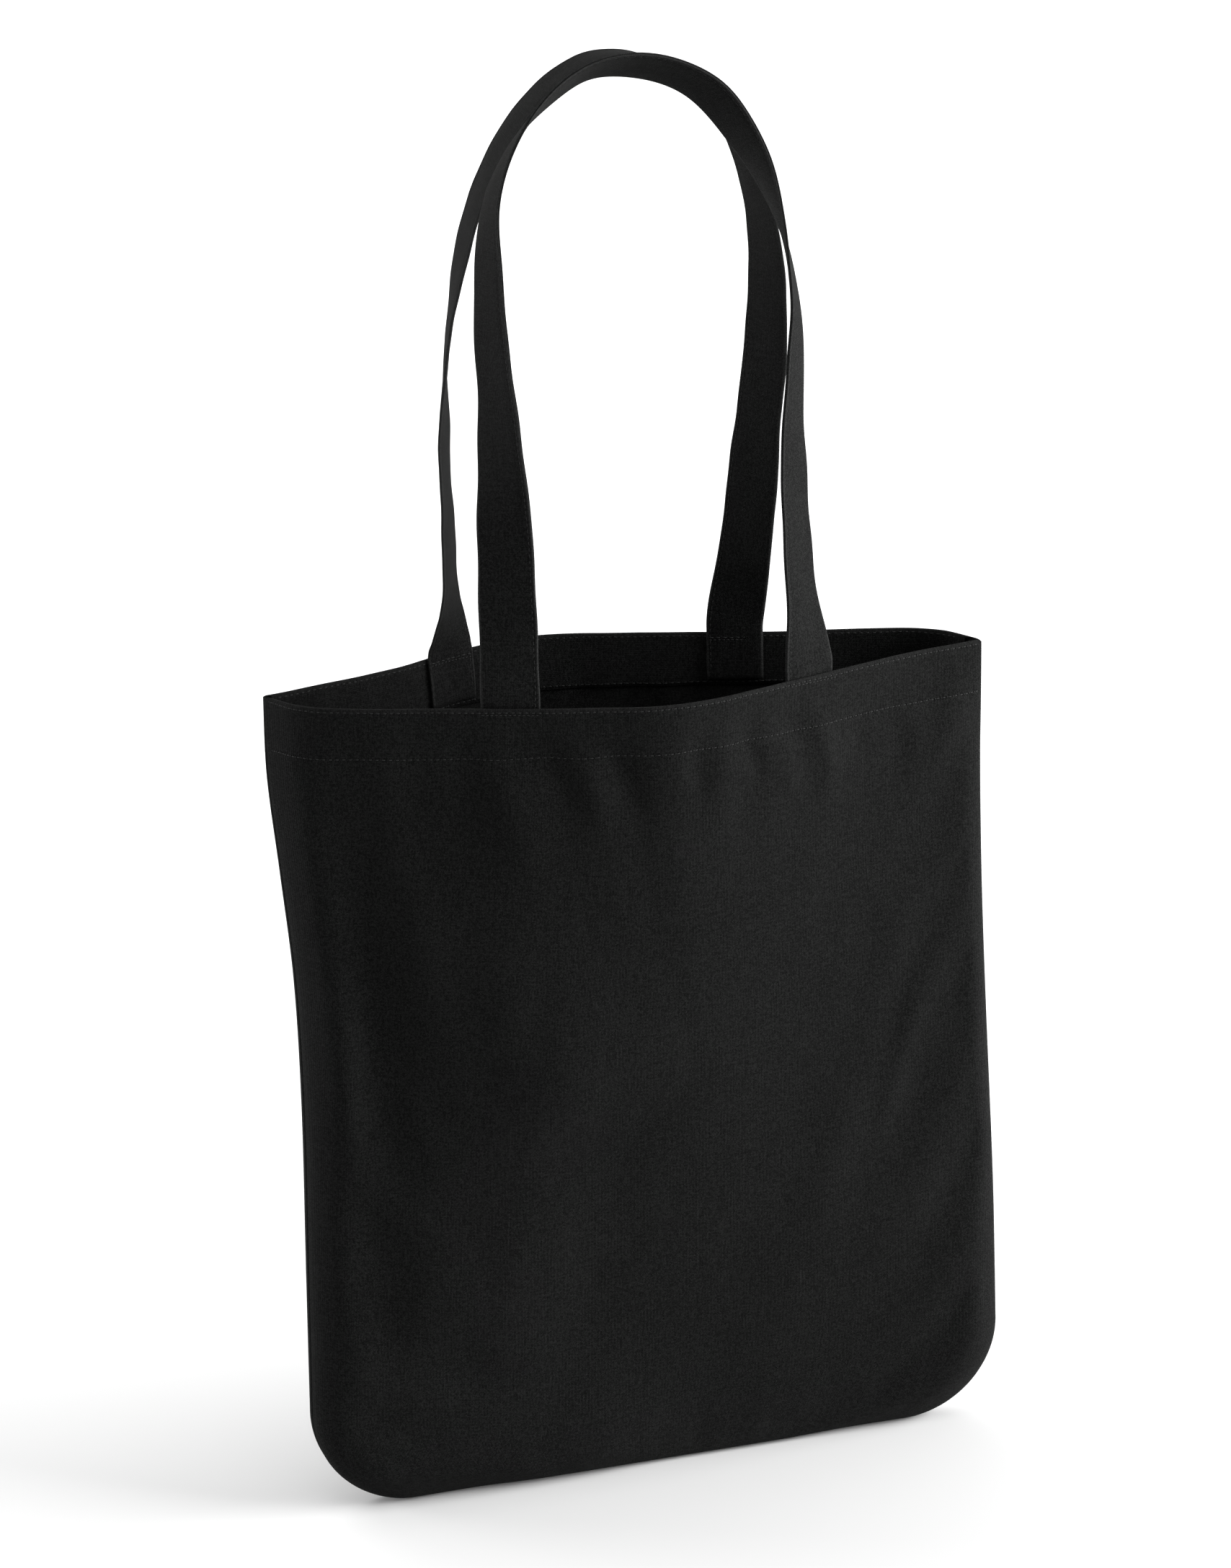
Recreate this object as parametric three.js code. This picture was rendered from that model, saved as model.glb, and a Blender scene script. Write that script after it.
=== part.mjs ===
// A canvas tote bag standing open with both carrying handles up.
// Millimetres. +X is the wearer's left-to-right when facing the front panel, the front panel
// faces -Y and +Z is up. The origin is under the middle of the bag, on the floor.
import * as THREE from "three";

// The sewn bag
const bagHeight = 420; // floor to rim
const cornerRadius = 50; // rounded lower corners
const bagWidth = 362; // seam to seam at its widest, as it stands
const mouthTurn = 20; // the left mouth corner lies this far back, the right one this far forward
const clothThickness = 0.8;
const pieceGap = 0.3; // clearance between cloths that lie on each other

// How far the panels stand apart
const frontMouthDepth = 65; // at the rim, from the line between the mouth corners
const backMouthDepth = 63;
const bellyDepth = 34; // what the body of the bag would reach at the rim without the open mouth
const baseHalfDepth = 14; // half the depth of the bottom
const baseFoldRadius = 4; // where the panel turns up from the floor
const baseFlatEnd = 60; // the flat bottom starts to close this far from the middle
const baseFlatFade = 85; // and has closed this much further out
const sideRound = 20; // the panels round off over this distance from a seam

// The turned-in hem
const hemDepth = 27; // how far the hem reaches down inside
const hemRowInset = 1.7; // lower row of stitching, above the hem's inside edge
const rimRowDrop = 2.6; // topstitching, below the rim
const bartackDrop = 4.8; // extra row over a handle end, below the rim
const hemEndInset = 4; // the inside layer stops this far from a side seam

// The seam on the inside
const allowanceWidth = 8;
const allowanceThickness = 1.2;
const seamClearance = 1.4; // from the seam line to the allowance's outer edge
const lockstitchInset = 3.2;
const overlockSize = 1.1;

// Handles
const strapWidth = 28;
const strapThickness = 1.8;
const strapEndGap = 1.8; // the sewn end stops this far above the hem's lower row
const strapEndRise = 1; // the sewn end stops this far above the rim
const loopStart = 5.5; // the loop starts this far above the rim, past the stretch that bends
const footTurn = 22; // the strap turns out of the rim's line over this height
const topGap = 1; // from the middle to the edge of a handle, where the two lean together
const edgeStitchInset = 3; // from the strap's inner edge

// Threads
const threadWidth = 0.5;
const threadThickness = 0.4;
const rowEndShare = 0.03; // the rows round the rim stop this share of the width from a seam

// Where each side seam runs: share of the way up its straight stretch, and how far it stands
// to the right of half the bag's width
const leftSeam = [[0, 2], [0.19, 4], [0.43, 6.5], [0.61, 6], [0.76, 2], [0.89, -1.8], [1, -2]];
const rightSeam = [
  [0, 0.5], [0.17, -2.2], [0.34, -6.2], [0.52, -10], [0.68, -12.5], [0.84, -13.7], [1, -13.2],
];

// Plan of each side of the mouth: share of the way from the left corner, share of the depth
const frontMouth = [
  [0, 0], [0.03, 0.28], [0.09, 0.44], [0.25, 0.68], [0.4, 0.9],
  [0.49, 1], [0.58, 0.91], [0.75, 0.51], [0.9, 0.17], [1, 0],
];
const backMouth = [
  [0, 0], [0.1, 0.17], [0.2, 0.4], [0.31, 0.75], [0.43, 1],
  [0.55, 0.9], [0.73, 0.65], [0.88, 0.5], [0.965, 0.32], [1, 0],
];

// Each handle: where its feet stand along the rim, its line as a share of the way from the left
// foot to the right one and a height above the rim, and its twist in degrees along the way.
// At 0 degrees the strap's stitched edge faces away from the other handle, and at 90 it faces
// the inside of the loop.
const frontHandle = {
  feet: [0.298, 0.724],
  line: [
    [0.01, 60], [0.013, 130], [0.003, 190], [0.034, 240], [0.159, 272], [0.362, 291],
    [0.552, 292.5], [0.728, 282], [0.877, 253], [0.965, 218], [1.006, 178], [0.979, 110],
    [0.982, 50],
  ],
  twist: [
    [0, 68], [0.03, 52], [0.12, 36], [0.2, 26], [0.28, 13], [0.36, 4], [0.5, -18],
    [0.6, -4], [0.67, 17], [0.74, 31], [0.82, 40], [0.9, 45], [0.96, 51], [1, 72],
  ],
};
const backHandle = {
  feet: [0.289, 0.693],
  line: [
    [0, 45], [-0.018, 100], [-0.018, 145], [0.025, 195], [0.115, 240], [0.269, 274],
    [0.469, 293], [0.662, 292], [0.863, 275], [1.02, 242], [1.095, 200], [1.106, 155],
    [1.074, 100], [1.038, 45],
  ],
  twist: [
    [0, 58], [0.03, 38], [0.06, 29], [0.16, 24], [0.22, 17], [0.28, 9], [0.36, 3],
    [0.5, 2], [0.64, 6], [0.75, 22], [0.87, 36], [0.95, 48], [1, 72],
  ],
};

const canvasBlack = new THREE.MeshStandardMaterial({ color: 0x17171a, roughness: 0.95, metalness: 0 });
const strapBlack = new THREE.MeshStandardMaterial({ color: 0x1a1a1d, roughness: 0.93, metalness: 0 });
const threadBlack = new THREE.MeshStandardMaterial({ color: 0x242427, roughness: 0.7, metalness: 0 });

const mix = (from, to, share) => from + (to - from) * share;
const clamped = (value) => Math.min(1, Math.max(0, value));
const eased = (value) => clamped(value) ** 2 * (3 - 2 * clamped(value));
const front = { out: -1, mouth: frontMouth, depth: frontMouthDepth, handle: frontHandle };
const back = { out: 1, mouth: backMouth, depth: backMouthDepth, handle: backHandle };
const hemRowDrop = hemDepth - hemRowInset;

// A smooth curve through points with rising first values, read at one of them.
function smoothThrough(points, at) {
  const last = points.length - 1;
  const slope = (k) => {
    const [before, after] = [points[Math.max(0, k - 1)], points[Math.min(last, k + 1)]];
    return (after[1] - before[1]) / (after[0] - before[0]);
  };
  const next = Math.max(1, Math.min(last, points.findIndex((point) => point[0] >= at)));
  const [start, end] = [points[next - 1], points[next]];
  const span = end[0] - start[0];
  const t = clamped((at - start[0]) / span);
  const hermite = (1 + 2 * t) * (1 - t) ** 2 * start[1] + t * t * (3 - 2 * t) * end[1];
  return hermite + span * t * (1 - t) * ((1 - t) * slope(next - 1) - t * slope(next));
}

// X of a side seam at a height up the cloth, round the lower corner too.
function seamX(side, height) {
  const rise = clamped((height - cornerRadius) / (bagHeight - cornerRadius));
  const lean = smoothThrough(side < 0 ? leftSeam : rightSeam, rise);
  const drop = Math.max(0, cornerRadius - height);
  const roundedOff = cornerRadius - Math.sqrt(cornerRadius ** 2 - drop ** 2);
  return side * (bagWidth / 2 - roundedOff) + lean;
}

// Distance from a place on the flat cloth to the nearest seam.
function seamDistance(x, height) {
  const side = x < 0 ? -1 : 1;
  const cornerX = seamX(side, cornerRadius) - side * cornerRadius;
  const beyond = side * (x - cornerX);
  if (height >= cornerRadius) return side * (seamX(side, height) - x);
  if (beyond <= 0) return height;
  return cornerRadius - Math.hypot(beyond, cornerRadius - height);
}

// How the cloth leaves the bottom seam: flat along the floor, round the fold, then up.
function baseFold(height) {
  const flat = baseHalfDepth - baseFoldRadius;
  const turn = clamped((height - flat) / (baseFoldRadius * Math.PI / 2)) * Math.PI / 2;
  const climbed = Math.max(0, height - flat - (baseFoldRadius * Math.PI) / 2);
  return {
    depth: (Math.min(height, flat) + baseFoldRadius * Math.sin(turn)) / baseHalfDepth,
    z: baseFoldRadius * (1 - Math.cos(turn)) + climbed,
  };
}

// The middle of a panel's cloth: share of the way from left seam to right, height up the cloth.
function clothMiddle(panel, share, height) {
  const x = mix(seamX(-1, height), seamX(1, height), share);
  const rise = height / bagHeight;
  const flatness = 1 - eased((Math.abs(x) - baseFlatEnd) / baseFlatFade);
  const fold = baseFold(height);
  const fromSeam = clamped(seamDistance(x, height) / sideRound);
  const roundShare = Math.sqrt(1 - (1 - fromSeam) ** 2);
  const body = mix(baseHalfDepth, bellyDepth, rise) * mix(roundShare, fold.depth, flatness);
  const mouth = panel.depth * smoothThrough(panel.mouth, share);
  const openness = rise ** 2;
  const depth = (clothThickness + pieceGap) / 2 + mix(body, mouth, openness);
  const returned = eased((height - cornerRadius) / (bagHeight - 2 * hemDepth - cornerRadius));
  const z = height - flatness * (height - fold.z) * (1 - returned);
  const chordY = mouthTurn * rise * (1 - 2 * share);
  return new THREE.Vector3(x, chordY + panel.out * depth, z + clothThickness / 2);
}

// A place on the cloth, moved into the bag by an inset measured from the cloth's middle.
function clothPoint(panel, share, height, inset) {
  const step = 0.004;
  const [before, after] = [Math.max(0, share - step), Math.min(1, share + step)];
  const reach = Math.min(height, bagHeight);
  const along = clothMiddle(panel, after, reach).sub(clothMiddle(panel, before, reach));
  const inward = new THREE.Vector3(along.y, -along.x, 0).normalize().multiplyScalar(panel.out);
  const point = clothMiddle(panel, share, reach).addScaledVector(inward, inset);
  point.z += height - reach;
  return point;
}

// A closed sheet of even thickness about a grid of points, given as rows of columns.
function sheet(rows, thickness) {
  const [rowCount, columnCount] = [rows.length, rows[0].length];
  const within = (place, count) => Math.min(count - 1, Math.max(0, place));
  const at = (i, j) => rows[within(i, rowCount)][within(j, columnCount)];
  const faces = [1, -1].map((side) => rows.map((row, i) => row.map((point, j) => {
    const across = at(i, j + 1).clone().sub(at(i, j - 1));
    const along = at(i + 1, j).clone().sub(at(i - 1, j));
    return point.clone().addScaledVector(across.cross(along).normalize(), (side * thickness) / 2);
  })));
  const index = [];
  const corner = (side, i, j) => side * rowCount * columnCount + i * columnCount + j;
  const quad = (a, b, c, d) => index.push(a, b, c, a, c, d);
  for (let i = 0; i < rowCount - 1; i += 1) {
    for (let j = 0; j < columnCount - 1; j += 1) {
      quad(corner(0, i, j), corner(0, i, j + 1), corner(0, i + 1, j + 1), corner(0, i + 1, j));
      quad(corner(1, i, j), corner(1, i + 1, j), corner(1, i + 1, j + 1), corner(1, i, j + 1));
    }
  }
  for (let i = 0; i < rowCount - 1; i += 1) {
    const end = columnCount - 1;
    quad(corner(0, i, 0), corner(0, i + 1, 0), corner(1, i + 1, 0), corner(1, i, 0));
    quad(corner(0, i, end), corner(1, i, end), corner(1, i + 1, end), corner(0, i + 1, end));
  }
  for (let j = 0; j < columnCount - 1; j += 1) {
    const end = rowCount - 1;
    quad(corner(0, 0, j), corner(1, 0, j), corner(1, 0, j + 1), corner(0, 0, j + 1));
    quad(corner(0, end, j), corner(0, end, j + 1), corner(1, end, j + 1), corner(1, end, j));
  }
  const geometry = new THREE.BufferGeometry().setFromPoints(faces.flat(2));
  geometry.setIndex(index);
  geometry.computeVertexNormals();
  return geometry;
}

// Shares across a panel: closer together where it rounds off to a seam, and under each strap.
function panelShares(panel) {
  const half = [0, 0.004, 0.012, 0.025, 0.045, 0.08, 0.13, 0.19, 0.25, 0.31, 0.37, 0.435];
  const even = [...half, 0.5, ...half.map((share) => 1 - share).reverse()];
  const feet = panel.handle.feet.map((foot) => footShares(panel, foot));
  const clear = (share) => feet.every((foot) => share < foot[0] - 0.01 || share > foot.at(-1) + 0.01);
  return [...even.filter(clear), ...feet.flat()].sort((a, b) => a - b);
}

// Heights up a panel: evenly round the lower corners, then up to where the hem turns in.
function panelHeights() {
  const cornerSteps = 8;
  const heights = [];
  for (let step = 0; step <= cornerSteps; step += 1) {
    heights.push(cornerRadius * (1 - Math.cos((Math.PI / 2) * (step / cornerSteps))));
  }
  const bodySteps = 8;
  for (let step = 1; step <= bodySteps; step += 1) {
    heights.push(mix(cornerRadius, bagHeight - hemDepth, step / bodySteps));
  }
  return heights;
}

// One panel with its hem turned in at the rim.
function panelGeometry(panel) {
  const shares = panelShares(panel);
  const rows = panelHeights().map((height) => shares.map((share) => clothPoint(panel, share, height, 0)));
  const layerStep = clothThickness + pieceGap;
  const turnHeight = bagHeight - (layerStep + clothThickness) / 2;
  const turnSteps = 4;
  for (let step = 0; step <= turnSteps; step += 1) {
    const angle = (Math.PI * step) / turnSteps;
    const inset = (layerStep * (1 - Math.cos(angle))) / 2;
    const height = turnHeight + (layerStep * Math.sin(angle)) / 2;
    rows.push(hemRow(panel, height, inset, step / turnSteps));
  }
  rows.push(hemRow(panel, bagHeight - hemDepth / 2, layerStep, 1));
  rows.push(hemRow(panel, bagHeight - hemDepth, layerStep, 1));
  return sheet(panel.out < 0 ? rows : rows.map((row) => row.reverse()), clothThickness);
}

// A row of the hem, drawn in from the side seams by a share of the end inset.
function hemRow(panel, height, inset, drawnIn) {
  const end = (drawnIn * hemEndInset) / bagWidth;
  return panelShares(panel).map((share) => clothPoint(panel, mix(end, 1 - end, share), height, inset));
}

// The inside of the seam: a line that keeps a distance from the seam, from rim to rim.
function seamLine(distance) {
  const top = bagHeight - hemDepth - pieceGap - clothThickness;
  const [sideSteps, cornerSteps, baseSteps] = [7, 6, 5];
  const places = [];
  const radius = cornerRadius - distance;
  for (let step = 0; step < sideSteps; step += 1) {
    const height = mix(top, cornerRadius, step / sideSteps);
    places.push([seamX(-1, height) + distance, height]);
  }
  for (const side of [-1, 1]) {
    const cornerX = seamX(side, cornerRadius) - side * cornerRadius;
    for (let step = 0; step <= cornerSteps; step += 1) {
      const angle = (Math.PI / 2) * (side < 0 ? 1 - step / cornerSteps : step / cornerSteps);
      places.push([cornerX + side * radius * Math.sin(angle), cornerRadius - radius * Math.cos(angle)]);
    }
    if (side < 0) {
      const otherX = seamX(1, cornerRadius) - cornerRadius;
      for (let step = 1; step < baseSteps; step += 1) {
        places.push([mix(cornerX, otherX, step / baseSteps), distance]);
      }
    }
  }
  for (let step = 1; step <= sideSteps; step += 1) {
    const height = mix(cornerRadius, top, step / sideSteps);
    places.push([seamX(1, height) - distance, height]);
  }
  return places.map(([x, height]) => betweenPanels(x, height));
}

// Halfway between the two panels.
function betweenPanels(x, height) {
  const share = (x - seamX(-1, height)) / (seamX(1, height) - seamX(-1, height));
  const y = (clothMiddle(front, share, height).y + clothMiddle(back, share, height).y) / 2;
  return new THREE.Vector3(x, y, height);
}

// A thin bead of thread along points, lying flat to a direction across it.
function bead(points, across, width, thickness) {
  const rows = points.map((point, i) => [
    point.clone().addScaledVector(across[i], -width / 2),
    point.clone().addScaledVector(across[i], width / 2),
  ]);
  return sheet(rows, thickness);
}

// A row of stitching round one panel at a drop below the rim, from share to share.
function stitchRow(panel, drop, inset, fromShare = rowEndShare, toShare = 1 - rowEndShare) {
  const shares = [fromShare, ...panelShares(panel).filter((s) => s > fromShare && s < toShare), toShare];
  const points = shares.map((share) => clothPoint(panel, share, bagHeight - drop, inset));
  const up = points.map(() => new THREE.Vector3(0, 0, 1));
  return bead(points, up, threadWidth, threadThickness);
}

// Insets from the middle of a panel's cloth to what lies on it.
const clothStep = clothThickness + pieceGap;
const outsideThreadInset = -(clothThickness + threadThickness) / 2 - pieceGap;
const insideThreadInset = clothStep - outsideThreadInset;
const strapColumns = [-0.5, -0.25, 0, 0.25, 0.5]; // shares of the width, from its middle
const strapInset = clothStep + clothThickness / 2 + pieceGap + strapThickness / 2;

// Shares along the rim from one edge of a strap to the other, at one of its feet.
function footShares(panel, footShare) {
  const gaugeShare = 0.01;
  const gaugeStart = clothPoint(panel, footShare - gaugeShare, bagHeight, strapInset);
  const gaugeEnd = clothPoint(panel, footShare + gaugeShare, bagHeight, strapInset);
  const reach = (strapWidth * gaugeShare) / gaugeEnd.distanceTo(gaugeStart);
  return strapColumns.map((place) => footShare + 2 * place * reach);
}

// The end of a strap, sewn to the inside of the hem.
function strapEnd(panel, footShare) {
  const shares = footShares(panel, footShare);
  const length = hemRowDrop - strapEndGap;
  const heights = [-length, -length / 2, 0, strapEndRise];
  const rows = heights.map((rise) => (
    shares.map((share) => clothPoint(panel, share, bagHeight + rise, strapInset))
  ));
  return sheet(panel.out < 0 ? rows : rows.map((row) => row.reverse()), strapThickness);
}

const loopSteps = 60;
const closerAtFeet = 0.1; // how much closer together the stations lie near the feet

// Stations along a handle's loop: middle, direction across towards the stitched edge.
function loopStations(panel) {
  const { handle } = panel;
  const feet = handle.feet.map((share) => clothPoint(panel, share, bagHeight, strapInset));
  const rise = Math.max(...handle.line.map((point) => point[1]));
  const topY = panel.out * (strapWidth / 2 + topGap);
  const places = handle.line.map(([share, height]) => {
    const place = feet[0].clone().lerp(feet[1], share);
    return new THREE.Vector3(place.x, mix(place.y, topY, height / rise), bagHeight + height);
  });
  const startPoints = feet.map((foot) => foot.clone().setZ(bagHeight + loopStart));
  const line = [startPoints[0], ...places, startPoints[1]];
  const curve = new THREE.CatmullRomCurve3(line, false, "centripetal");
  const footAcross = handle.feet.map((share, foot) => {
    const shares = footShares(panel, share);
    const along = clothPoint(panel, shares.at(-1), bagHeight, strapInset);
    along.sub(clothPoint(panel, shares[0], bagHeight, strapInset)).normalize();
    return along.multiplyScalar(foot === 0 ? 1 : -1);
  });
  const stations = [];
  for (let step = 0; step <= loopSteps; step += 1) {
    const even = step / loopSteps;
    const share = clamped(even - closerAtFeet * Math.sin(2 * Math.PI * even));
    const middle = curve.getPointAt(share);
    const along = curve.getTangentAt(share);
    const outward = new THREE.Vector3(0, panel.out, 0);
    outward.addScaledVector(along, -outward.dot(along)).normalize();
    const inward = new THREE.Vector3().crossVectors(outward, along).multiplyScalar(panel.out);
    const twist = THREE.MathUtils.degToRad(smoothThrough(handle.twist, share));
    const across = outward.multiplyScalar(Math.cos(twist)).addScaledVector(inward, Math.sin(twist));
    const turned = eased((middle.z - bagHeight - loopStart) / footTurn);
    across.lerp(footAcross[share < 0.5 ? 0 : 1], 1 - turned);
    across.addScaledVector(along, -across.dot(along)).normalize();
    stations.push({ middle, across, along });
  }
  return stations;
}

function loopGeometry(panel) {
  const rows = loopStations(panel).map(({ middle, across }) => (
    strapColumns.map((place) => middle.clone().addScaledVector(across, place * strapWidth))
  ));
  return sheet(panel.out < 0 ? rows : rows.map((row) => row.reverse()), strapThickness);
}

// The row of stitching that closes the strap along its inner edge, on its outer face.
function loopStitch(panel) {
  const stations = loopStations(panel);
  const points = stations.map(({ middle, across, along }) => {
    const outerFace = new THREE.Vector3().crossVectors(across, along).multiplyScalar(-panel.out);
    const point = middle.clone().addScaledVector(across, strapWidth / 2 - edgeStitchInset);
    return point.addScaledVector(outerFace, strapThickness / 2 + pieceGap + threadThickness / 2);
  });
  return bead(points, stations.map(({ across }) => across), threadWidth, threadThickness);
}

// The allowance between the panels, as rows from its outer edge to its cut one.
function allowanceRows() {
  const cutEdge = seamLine(allowanceWidth);
  return seamLine(seamClearance).map((point, i) => [point, cutEdge[i]]);
}

// The stitching that joins the panels, on the front face of the allowance.
function lockstitch() {
  const rows = allowanceRows();
  const faceStep = allowanceThickness / 2 + pieceGap + threadThickness / 2;
  const onFace = rows.map(([outer, inner], i) => {
    const across = inner.clone().sub(outer).normalize();
    const along = rows[Math.min(i + 1, rows.length - 1)][0].clone().sub(rows[Math.max(i - 1, 0)][0]);
    const face = across.clone().cross(along).normalize();
    face.multiplyScalar(-Math.sign(face.y));
    return [-0.5, 0.5].map((place) => (
      outer.clone().addScaledVector(across, lockstitchInset - seamClearance + place * threadWidth)
        .addScaledVector(face, faceStep)
    ));
  });
  return sheet(onFace, threadThickness);
}

// The thread wrapped round the allowance's cut edge.
function overlock() {
  const start = allowanceWidth + pieceGap;
  const outer = seamLine(start);
  const inner = seamLine(start + overlockSize);
  return sheet(outer.map((point, i) => [point, inner[i]]), overlockSize);
}

const toteBag = new THREE.Group();
function add(name, geometry, material) {
  const mesh = new THREE.Mesh(geometry, material);
  mesh.name = name;
  toteBag.add(mesh);
}

add("side_and_bottom_seam_allowance", sheet(allowanceRows(), allowanceThickness), canvasBlack);
add("seam_lockstitch_thread", lockstitch(), threadBlack);
add("seam_overlock_thread", overlock(), threadBlack);
for (const [side, panel] of [["front", front], ["back", back]]) {
  add(`${side}_panel`, panelGeometry(panel), canvasBlack);
  add(`${side}_rim_stitching`, stitchRow(panel, rimRowDrop, outsideThreadInset), threadBlack);
  add(`${side}_hem_stitching`, stitchRow(panel, hemRowDrop, outsideThreadInset), threadBlack);
  add(`${side}_hem_bobbin_thread`, stitchRow(panel, hemRowDrop, insideThreadInset), threadBlack);
  panel.handle.feet.forEach((footShare, foot) => {
    const place = ["left", "right"][foot];
    const shares = footShares(panel, footShare);
    add(`${side}_handle_${place}_end`, strapEnd(panel, footShare), strapBlack);
    const tack = stitchRow(panel, bartackDrop, outsideThreadInset, shares[0], shares.at(-1));
    add(`${side}_handle_${place}_bartack`, tack, threadBlack);
  });
  add(`${side}_handle_loop`, loopGeometry(panel), strapBlack);
  add(`${side}_handle_edge_stitching`, loopStitch(panel), threadBlack);
}

// Centre the bag over the origin.
const box = new THREE.Box3().setFromObject(toteBag);
toteBag.position.set(-(box.min.x + box.max.x) / 2, -(box.min.y + box.max.y) / 2, -box.min.z);

export default toteBag;
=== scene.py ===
import math
import bpy
import numpy as np
from mathutils import Matrix, Vector


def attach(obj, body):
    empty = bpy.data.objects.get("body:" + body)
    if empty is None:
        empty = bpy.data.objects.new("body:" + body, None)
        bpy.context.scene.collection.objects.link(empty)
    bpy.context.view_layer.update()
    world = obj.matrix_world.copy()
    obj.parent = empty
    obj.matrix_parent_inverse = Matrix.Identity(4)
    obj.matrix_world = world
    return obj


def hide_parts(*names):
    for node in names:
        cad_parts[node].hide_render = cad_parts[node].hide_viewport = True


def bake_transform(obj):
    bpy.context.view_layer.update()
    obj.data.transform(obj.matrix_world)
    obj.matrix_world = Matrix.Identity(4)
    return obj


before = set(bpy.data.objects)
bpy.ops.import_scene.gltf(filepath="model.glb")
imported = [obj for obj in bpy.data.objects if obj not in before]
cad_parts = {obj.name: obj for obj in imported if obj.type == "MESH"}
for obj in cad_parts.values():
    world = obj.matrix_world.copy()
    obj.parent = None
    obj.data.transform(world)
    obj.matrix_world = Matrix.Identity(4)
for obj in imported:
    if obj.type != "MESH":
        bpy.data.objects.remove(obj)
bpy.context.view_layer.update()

# A canvas tote bag standing open, both handles up. Lengths in the dictionaries are millimetres,
# shares run from 0 at the left seam, or a handle's left foot, to 1 at the right one.
mm = 0.001
bpy.ops.object.select_all(action="DESELECT")
collection = bpy.context.scene.collection


def clamped(value):
    return np.clip(value, 0.0, 1.0)


def eased(value):
    value = clamped(value)
    return value * value * (3 - 2 * value)


def mix(start, end, share):
    return start + (end - start) * share


def hump(value, middle, width):
    return np.exp(-(((value - middle) / width) ** 2))


def unit(vectors):
    return vectors / np.maximum(np.linalg.norm(vectors, axis=-1, keepdims=True), 1e-12)


def runLength(path):
    # the distance along a path to each of its places
    return np.concatenate([[0], np.cumsum(np.linalg.norm(np.diff(path, axis=0), axis=1))])


def placesAt(values, length, at):
    return np.stack([np.interp(at, length, values[:, k]) for k in range(3)], axis=-1)


def through(points, at):
    # smooth curve through points with rising first values
    xs, ys = np.array(points, float).T
    at = np.asarray(at, float)
    slope = np.empty_like(ys)
    slope[1:-1] = (ys[2:] - ys[:-2]) / (xs[2:] - xs[:-2])
    slope[0], slope[-1] = (ys[1] - ys[0]) / (xs[1] - xs[0]), (ys[-1] - ys[-2]) / (xs[-1] - xs[-2])
    k = np.clip(np.searchsorted(xs, at, side="left"), 1, len(xs) - 1)
    span = xs[k] - xs[k - 1]
    t = clamped((at - xs[k - 1]) / span)
    flat = (1 + 2 * t) * (1 - t) ** 2 * ys[k - 1] + t * t * (3 - 2 * t) * ys[k]
    return flat + span * t * (1 - t) * ((1 - t) * slope[k - 1] - t * slope[k])


def ripples(u, v, length, seed, waves=9):
    # soft unevenness: a few seeded waves running every way
    draw = np.random.default_rng(seed)
    total = 0
    for _ in range(waves):
        turn, start, stretch = draw.uniform(0, math.pi), draw.uniform(0, 6.28), draw.uniform(0.7, 1.6)
        place = (u * math.cos(turn) + v * math.sin(turn)) / (length * stretch)
        total = total + np.sin(6.283 * place + start)
    return total / math.sqrt(waves)


# how the cloth stands
bag = {
    "height": 420, "width": 362, "cornerRadius": 50, "clothThickness": 0.8, "pieceGap": 0.3,
    "mouthTurn": 20, "bellyDepth": 34, "baseHalfDepth": 14, "baseFoldRadius": 12,
    "baseFlatEnd": 60, "baseFlatFade": 85, "sideRound": 20, "rightRound": 13, "seamTurn": 0.9,
    "hemDepth": 27, "hemEndInset": 4, "originX": 0.798, "originY": -0.412, "seamTurnReach": 8,
    # how far each side seam leans to the right, by share of the height
    "leftSeam": [[0, 2], [0.19, 4], [0.43, 6.5], [0.61, 6], [0.76, 2], [0.89, -1.8], [1, -2]],
    "rightSeam": [
        [0, 0.5], [0.17, -2.2], [0.34, -6.2], [0.52, -10], [0.68, -12.5], [0.84, -13.7], [1, -13.2],
    ],
}
# mouth: how far out along the rim; feet: the handle's ends; line and twist: the loop's run and turn
front = {
    "name": "front", "out": -1, "depth": 65,
    "mouth": [
        [0, 0], [0.03, 0.28], [0.09, 0.44], [0.25, 0.68], [0.4, 0.9],
        [0.49, 1], [0.58, 0.91], [0.75, 0.51], [0.9, 0.17], [1, 0],
    ],
    "feet": [0.298, 0.724],
    "line": [
        [0.01, 60], [0.013, 130], [0.003, 190], [0.034, 240], [0.159, 272], [0.362, 293],
        [0.552, 293.5], [0.728, 282], [0.877, 253], [0.965, 218], [1.006, 178], [0.979, 110],
        [0.982, 50],
    ],
    "twist": [
        [0, 72], [0.03, 66], [0.12, 50], [0.16, 37], [0.2, 27], [0.28, 13], [0.36, -4], [0.43, -23],
        [0.5, -32], [0.6, -22], [0.67, 6], [0.74, 28], [0.82, 40], [0.9, 45], [0.96, 51], [1, 72],
    ],
}
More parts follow.
